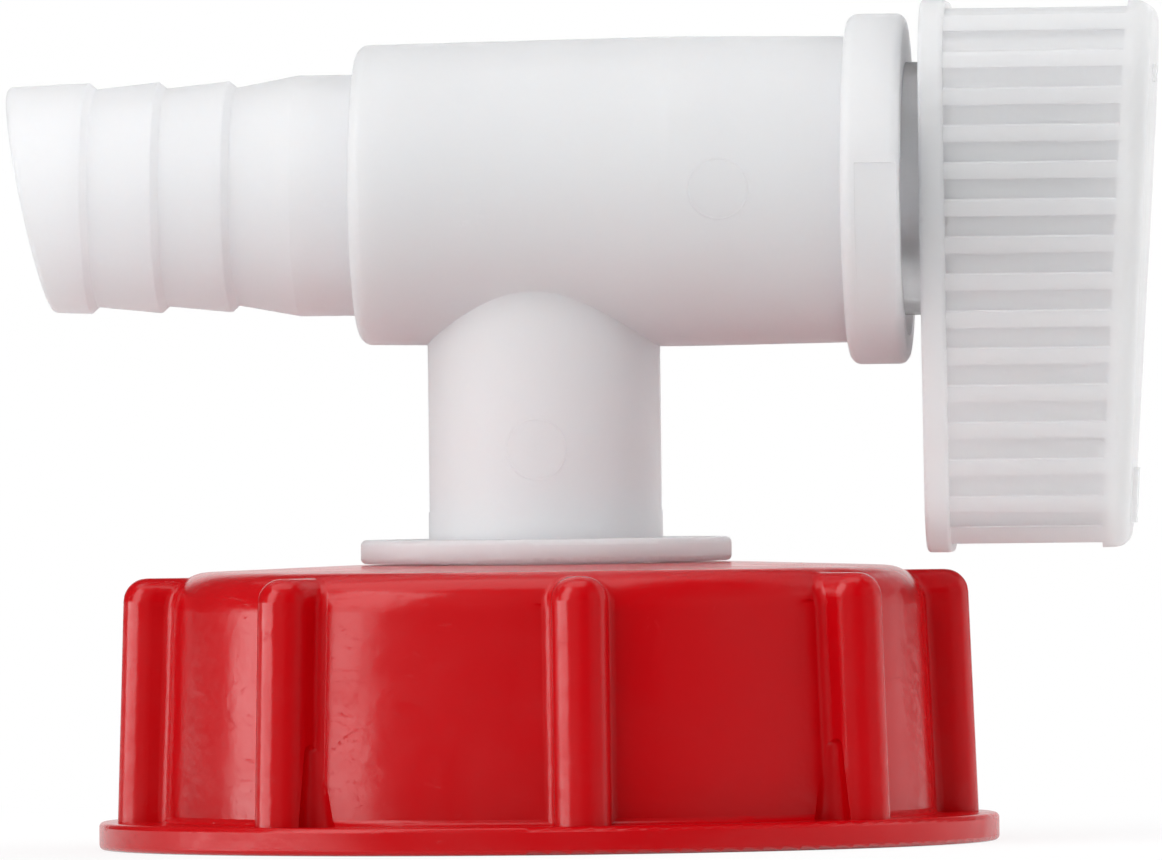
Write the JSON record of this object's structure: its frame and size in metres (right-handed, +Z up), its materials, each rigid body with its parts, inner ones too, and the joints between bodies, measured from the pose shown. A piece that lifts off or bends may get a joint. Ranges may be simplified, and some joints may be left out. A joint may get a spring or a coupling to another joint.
{
  "type": "canister tap",
  "caption": "Rotary tap with a barbed hose nozzle and ribbed lever, swivelling in a ribbed screw cap for a canister's neck.",
  "frame": {"origin": "on the cap's axis, in the plane of the cap's open end", "axes": "+Z up along the cap's axis, +X along the barrel towards the handle; the nozzle points along -X"},
  "size_m": [0.0921, 0.072, 0.0671],
  "materials": {
    "cap_red": "satin gloss, lightly scuffed",
    "tap_natural": "milky translucent, smooth",
    "plug_natural": "milky translucent, smooth",
    "handle_natural": "milky translucent, smooth",
    "ring_natural": "natural, smooth",
    "gasket_foam": "soft, matt",
    "seal_rubber": "pale silicone, smooth"
  },
  "bodies": {
    "cap": {"screw_cap": "cap_red", "cap_gasket": "gasket_foam"},
    "tap": {"tap_body": "tap_natural", "neck_o_ring": "seal_rubber", "neck_snap_ring": "ring_natural"},
    "rotor": {"valve_plug": "plug_natural", "plug_o_ring_inner": "seal_rubber", "plug_o_ring_outer": "seal_rubber", "handle": "handle_natural"}
  },
  "joints": [
    {"name": "tap_swivel", "type": "hinge", "parent": "cap", "child": "tap", "pos_m": [0, 0, 0.0224], "axis": [0, 0, 1], "continuous": true},
    {"name": "handle_turn", "type": "hinge", "parent": "tap", "child": "rotor", "pos_m": [0, 0, 0.0521], "axis": [-1, 0, 0], "range_deg": [0, 180]}
  ]
}
